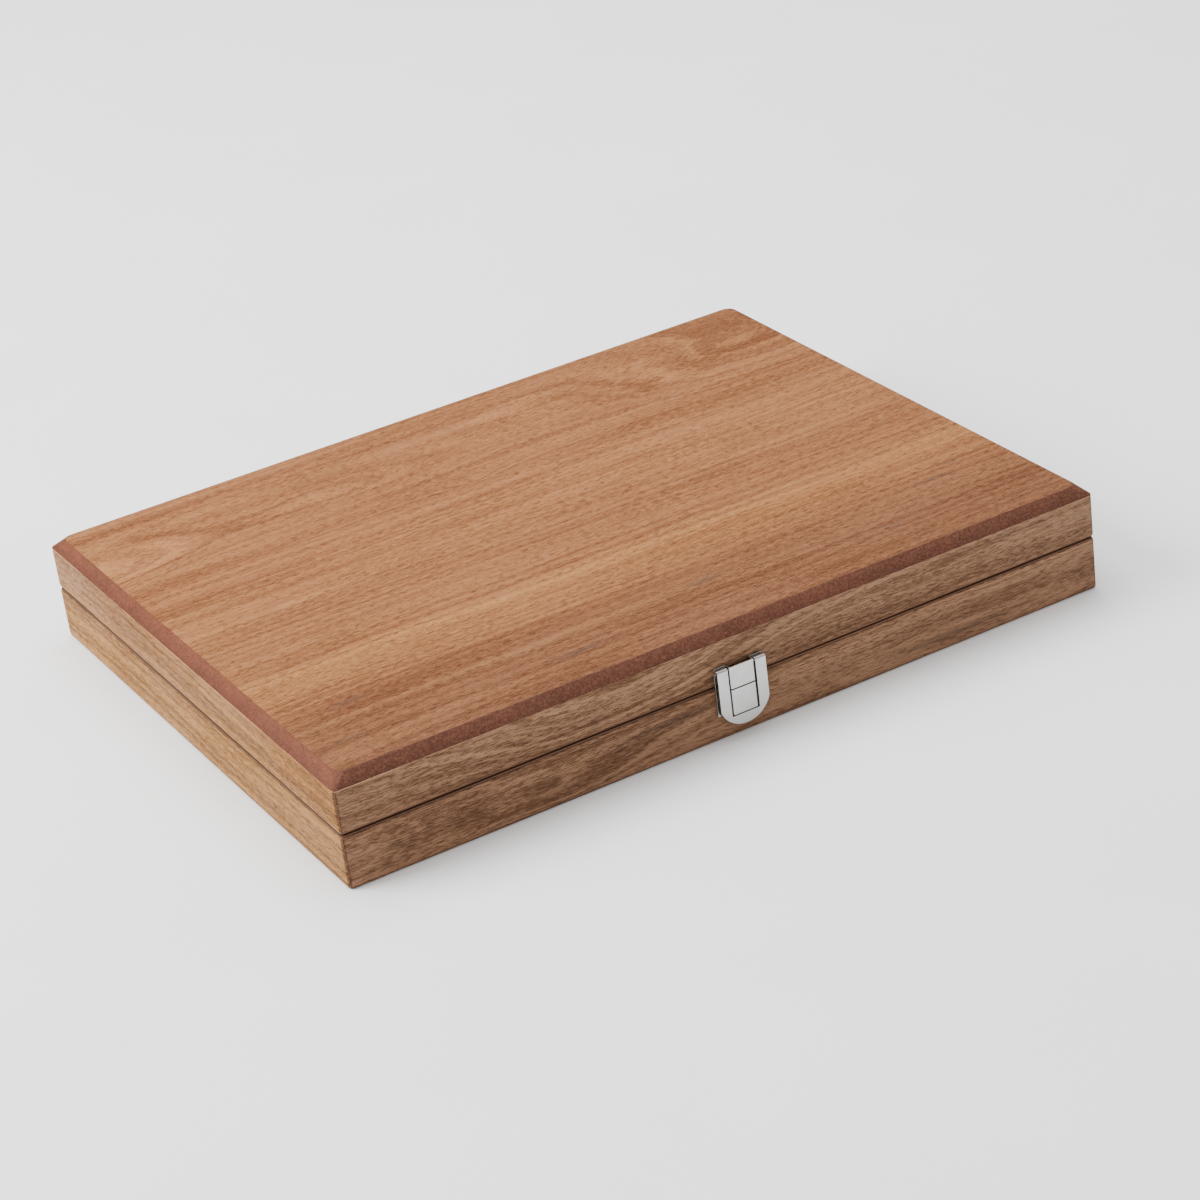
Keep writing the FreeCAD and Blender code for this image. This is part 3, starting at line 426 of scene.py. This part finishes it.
def rounded_plan(inset, height, radius):
    """The case's plan, moved in by inset, with its corners rounded."""
    points = []
    for way_x, way_y, start in ((1, 1, 0), (-1, 1, 90), (-1, -1, 180), (1, -1, 270)):
        centre = (way_x * (HALF_X - inset - radius), way_y * (HALF_Y - inset - radius))
        points += [(x, y, height) for x, y in arc(centre, radius, start, start + 90, CORNER_STEPS)]
    return points


def loft(profile):
    """A closed solid from a profile of (inset, height), with flat faces at its two ends."""
    rings = [rounded_plan(inset, height, CORNER_ROUND + inset * CORNER_EASE) for inset, height in profile]
    count = len(rings[0])
    points = [p for ring in rings for p in ring]
    faces = [
        (level * count + k, level * count + (k + 1) % count,
         (level + 1) * count + (k + 1) % count, (level + 1) * count + k)
        for level in range(len(rings) - 1) for k in range(count)
    ]
    faces.append(tuple(reversed(range(count))))
    faces.append(tuple(range((len(rings) - 1) * count, len(rings) * count)))
    return points, faces


def faces_front(points, face):
    """Whether a face of the chamfer lies along the front or back rather than at a side."""
    centre = [sum(points[k][axis] for k in face) / len(face) for axis in (0, 1)]
    return abs(centre[1]) / HALF_Y > abs(centre[0]) / HALF_X


# Lid top


def lid_top():
    """The board and the veneer sheet on it, which share one chamfer."""
    wall_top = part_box("lid_panel")[0].z / MM
    sheet_low, top = (corner.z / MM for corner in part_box("lid_veneer_top"))
    chamfer_low = top - LID_CHAMFER
    reach = ARRIS * math.tan(math.radians(22.5))
    turns = [(math.sin(math.radians(turn)), math.cos(math.radians(turn))) for turn in ARRIS_TURNS]
    lower = [(ARRIS * (1 - along), chamfer_low - reach + ARRIS * up) for up, along in turns]
    shift = sheet_low - chamfer_low
    points, faces = loft([(0.0, wall_top), *lower, (shift, sheet_low)])
    indices = [0 if faces_front(points, face) else 1 for face in faces]
    piece("lid_panel_board", "lid", "lid_panel", points, faces,
          [BAND["front"], BAND["side"]], indices)
    edge = LID_CHAMFER + reach
    upper = [(edge - ARRIS * out, top - ARRIS * (1 - up)) for out, up in reversed(turns)]
    points, faces = loft([(shift, sheet_low), *upper])
    last_ring = len(upper) * 4 * (CORNER_STEPS + 1)
    indices = []
    for face in faces:
        is_top = min(face) >= last_ring
        indices.append(2 if is_top else 0 if faces_front(points, face) else 1)
    piece("lid_top_veneer", "lid", "lid_veneer_top", points, faces,
          [BAND["front"], BAND["side"], VENEERS["top"]], indices, crease=50)


# Wall veneers


def side_stations(side, first, last):
    """Where a wall veneer's section stands: round one corner, along the wall, and round the next."""
    angle = SIDE_ANGLES[side]
    ends = []
    for way in (-1, 1):
        corner = math.radians(angle + way * 45)
        ends.append((math.copysign(HALF_X - CORNER_ROUND, math.cos(corner)),
                     math.copysign(HALF_Y - CORNER_ROUND, math.sin(corner))))
    steps = CORNER_STEPS // 2
    return ([(ends[0], angle - first * (steps - k) / steps) for k in range(steps + 1)]
            + [(ends[1], angle + last * k / steps) for k in range(steps + 1)])


def veneer_section(low, high, round_low, round_high):
    """The sheet's closed outline as (inset, height), with its edges rounded where asked."""
    bend = math.degrees(math.acos(1 - VENEER / EDGE_ROUND))
    outline = []
    if round_low:
        rounding = arc((0, 0), EDGE_ROUND, bend, 0, EDGE_STEPS)
        outline += [(EDGE_ROUND - x, low + EDGE_ROUND - z) for x, z in rounding]
    else:
        outline += [(VENEER, low), (0.0, low)]
    if round_high:
        rounding = arc((0, 0), EDGE_ROUND, 0, bend, EDGE_STEPS)
        outline += [(EDGE_ROUND - x, high - EDGE_ROUND + z) for x, z in rounding]
    else:
        outline += [(0.0, high), (VENEER, high)]
    return outline


def wall_veneer(half, side, first=45.0, last=45.0):
    """A wall's veneer, bent round first and last degrees of its two corners."""
    node = f"{half}_veneer_{side}"
    low, high = (corner.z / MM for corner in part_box(node))
    section = veneer_section(low, high, True, half == "base")
    stations = side_stations(side, first, last)
    points = []
    for centre, angle in stations:
        out_x, out_y = math.cos(math.radians(angle)), math.sin(math.radians(angle))
        points += [(centre[0] + (CORNER_ROUND - inset) * out_x, centre[1] + (CORNER_ROUND - inset) * out_y, z)
                   for inset, z in section]
    count = len(section)
    faces = []
    for first_corner in range(0, (len(stations) - 1) * count, count):
        for k in range(count):
            near, far = first_corner + k, first_corner + (k + 1) % count
            faces.append((near, near + count, far + count, far))
    faces.append(tuple(range(count)))
    faces.append(tuple(reversed(range((len(stations) - 1) * count, len(stations) * count))))
    piece(f"{half}_{side}_veneer", half, node, points, faces, [VENEERS[side]])


lid_top()
# The side veneers end on the plane of the back veneer's inner face.
back_turn = math.degrees(math.acos((CORNER_ROUND - VENEER) / CORNER_ROUND))
for half in ("lid", "base"):
    wall_veneer(half, "front")
    wall_veneer(half, "left", first=back_turn)
    wall_veneer(half, "right", last=back_turn)


# Latch


def latch_plate(name, body, node):
    """The bent sheet: two feet on the wood and a raised middle that is open above and below."""
    low, high = (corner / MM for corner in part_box(node))
    sheet, raised, bend, inner_bend = PLATE_SHEET, PLATE_RAISED, PLATE_BEND, PLATE_INNER_BEND
    wood, front, half = high.y, low.y, high.x
    outline = [(-half, wood), (-raised + sheet, wood)]
    outline += arc((-raised + sheet + inner_bend, front + sheet + inner_bend), inner_bend, 180, 270, 3)
    outline += arc((raised - sheet - inner_bend, front + sheet + inner_bend), inner_bend, 270, 360, 3)
    outline += [(raised - sheet, wood), (half, wood), (half, wood - sheet), (raised, wood - sheet)]
    outline += arc((raised - bend, front + bend), bend, 0, -90, 5)
    outline += arc((-raised + bend, front + bend), bend, -90, -180, 5)
    outline += [(-raised, wood - sheet), (-half, wood - sheet)]
    outline.reverse()
    count = len(outline)
    points = [(x, y, z) for z in (low.z, high.z) for x, y in outline]
    faces = [(k, (k + 1) % count, count + (k + 1) % count, count + k) for k in range(count)]
    faces += [tuple(reversed(range(count))), tuple(range(count, 2 * count))]
    piece(name, body, node, points, faces, [NICKEL], bevel=0.12, crease=40)


def roll_path(pin, eye, front, back):
    """A rolled strip's (outer, inner) places as (y, z): straight up from the plate, then round the pin."""
    path = [((front, pin.z - eye / 2), (back, pin.z - eye + 0.1))]
    for k in range(LEVER_ROLL_STEPS + 1):
        angle = math.radians(180 - LEVER_ROLL_TURN * k / LEVER_ROLL_STEPS)
        way_y, way_z = math.cos(angle), math.sin(angle)
        squared = 1.0
        if way_z > 0:
            squared = (abs(way_y) ** ROLL_POWER + way_z ** ROLL_POWER) ** (-1 / ROLL_POWER)
        path.append(((pin.y + eye * squared * way_y, pin.z + eye * squared * way_z),
                     (pin.y + LEVER_BORE * way_y, pin.z + LEVER_BORE * way_z)))
    return path


def lever():
    """A flat plate with a rounded end, open from above, whose two strips are rolled round the pin."""
    low, high = (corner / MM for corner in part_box("latch_lever"))
    pin = (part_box("latch_pin")[0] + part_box("latch_pin")[1]) / 2 / MM
    half, inner, eye = high.x, LEVER_OPENING / 2, high.z - pin.z
    front, back = low.y, low.y + LEVER_SHEET
    flat_top, nick_top = pin.z - eye, LEVER_BAR_TOP + LEVER_NICK
    turn = math.degrees(math.asin(half / LEVER_END))
    outline = [(-half, flat_top), (-inner, flat_top), (-inner, nick_top),
               (-inner + LEVER_NICK, LEVER_BAR_TOP), (inner - LEVER_NICK, LEVER_BAR_TOP), (inner, nick_top),
               (inner, flat_top), (half, flat_top)]
    outline += arc((0, low.z + LEVER_END), LEVER_END, turn - 90, -turn - 90, LEVER_END_STEPS)
    count = len(outline)
    points = [(x, y, z) for y in (front, back) for x, z in outline]
    strips = (0, 6)                     # the outline's edges that carry on up into the rolled strips
    faces = [tuple(reversed(range(count))), tuple(range(count, 2 * count))]
    faces += [(k, (k + 1) % count, count + (k + 1) % count, count + k)
              for k in range(count) if k not in strips]
    for start in strips:
        rows = [(start, start + 1, count + start, count + start + 1)]
        for outer, inside in roll_path(pin, eye, front, back):
            made = len(points)
            points += [(outline[k][0], *place) for place in (outer, inside) for k in (start, start + 1)]
            rows.append((made, made + 1, made + 2, made + 3))
        for a, b in zip(rows, rows[1:]):
            faces += [(a[0], a[1], b[1], b[0]), (a[2], b[2], b[3], a[3]),
                      (a[0], b[0], b[2], a[2]), (a[1], a[3], b[3], b[1])]
        end = rows[-1]
        faces.append((end[0], end[1], end[3], end[2]))
    piece("lever_plate", "lever", "latch_lever", points, faces, [NICKEL], bevel=0.13, crease=45)


latch_plate("lid_latch_plate", "lid", "latch_lid_plate")
latch_plate("keeper_plate", "base", "latch_keeper")
lever()


# Finishes of the CAD nodes that stay

FINISHES = {
    "base_panel": BOTTOM, "lid_lining_top": FELT, "lid_lining_rim": FELT, "latch_pin": NICKEL,
    "chip_tray_left": FLOCK, "chip_tray_right": FLOCK, "middle_tray": FLOCK,
    "latch_nails_lid": HINGE, "latch_nails_base": HINGE,
    "hinge_screws_lid": HINGE, "hinge_screws_base": HINGE,
    **{f"{half}_wall_{side}": BOARDS["x" if side in ("front", "back") else "y"]
       for half in ("lid", "base") for side in SIDE_ANGLES},
    **{f"{half}_veneer_back": VENEERS["back"] for half in ("lid", "base")},
    **{f"hinge_{side}_{part}": HINGE
       for side in ("left", "right") for part in ("lid_leaf", "base_leaf", "pin")},
}
LIPPED = ("chip_tray_left", "chip_tray_right", "middle_tray")
for node, material in FINISHES.items():
    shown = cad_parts[node]
    shown.data.materials.clear()
    shown.data.materials.append(material)
    if node in LIPPED:
        shown.modifiers.new("joined", "WELD").merge_threshold = WELD * MM
        rim = shown.modifiers.new("rim", "BEVEL")
        rim.width, rim.segments, rim.limit_method = LIP_ROUND * MM, 3, "ANGLE"
        rim.angle_limit, rim.harden_normals = math.radians(50), True


# Floor, light and camera, in metres

FLOOR_HALF = 6.0
CAMERA_ANGLES = (-27.24, 27.24, -7.56)       # round the case, above the floor, and about its own axis
CAMERA_AWAY, CAMERA_RIGHT, CAMERA_UP = 1.4855, 0.0128, 0.005
SENSOR, FOCAL_LENGTH, FAR_CLIP = 36.0, 102.07, 50.0

def pale_floor():
    g = Graph("pale_floor")
    cloud = g.noise(g.object_mm, (0.01,) * 3, 2.0)
    tint = g.mix(g.remap(cloud, 0.3, 0.7), (0.93, 0.93, 0.93), (0.95, 0.95, 0.95))
    mesh = bpy.data.meshes.new("floor")
    half = FLOOR_HALF
    mesh.from_pydata([(-half, -half, 0), (half, -half, 0), (half, half, 0), (-half, half, 0)],
                     [], [(0, 1, 2, 3)])
    mesh.materials.append(g.finish(Base_Color=tint, Roughness=0.9, Specular_IOR_Level=0.1))
    floor = bpy.data.objects.new("floor", mesh)
    bpy.context.scene.collection.objects.link(floor)


def softbox(name, at, size, power):
    """A square white area light, turned to the case."""
    light = bpy.data.lights.new(name, "AREA")
    light.shape, light.size, light.energy = "SQUARE", size, power
    holder = bpy.data.objects.new(name, light)
    holder.location = at
    holder.rotation_euler = (-Vector(at)).to_track_quat("-Z", "Y").to_euler()
    bpy.context.scene.collection.objects.link(holder)


def sky(strength):
    world = bpy.data.worlds.new("studio")
    world.use_nodes = True
    back = world.node_tree.nodes["Background"]
    back.inputs["Color"].default_value = (1.0, 1.0, 1.0, 1.0)
    back.inputs["Strength"].default_value = strength
    bpy.context.scene.world = world


def camera():
    """A long lens from the front left, a little above, tipped slightly about its own axis."""
    azimuth, elevation, roll = (math.radians(angle) for angle in CAMERA_ANGLES)
    away = Vector((math.sin(azimuth) * math.cos(elevation), -math.cos(azimuth) * math.cos(elevation),
                   math.sin(elevation)))
    level = Vector((0, 0, 1)).cross(away).normalized()
    upward = away.cross(level)
    right = level * math.cos(roll) + upward * math.sin(roll)
    up = upward * math.cos(roll) - level * math.sin(roll)
    place = away * CAMERA_AWAY + right * CAMERA_RIGHT + up * CAMERA_UP
    lens = bpy.data.cameras.new("camera")
    lens.sensor_width, lens.lens, lens.clip_end = SENSOR, FOCAL_LENGTH, FAR_CLIP
    holder = bpy.data.objects.new("camera", lens)
    holder.matrix_world = Matrix.Translation(place) @ Matrix((right, up, away)).transposed().to_4x4()
    bpy.context.scene.collection.objects.link(holder)
    bpy.context.scene.camera = holder


pale_floor()
sky(0.9)
softbox("key_left", (-1.6, 0.7, 1.3), 1.3, 75.0)
softbox("top_fill", (0.1, 0.6, 2.0), 1.8, 48.0)
camera()
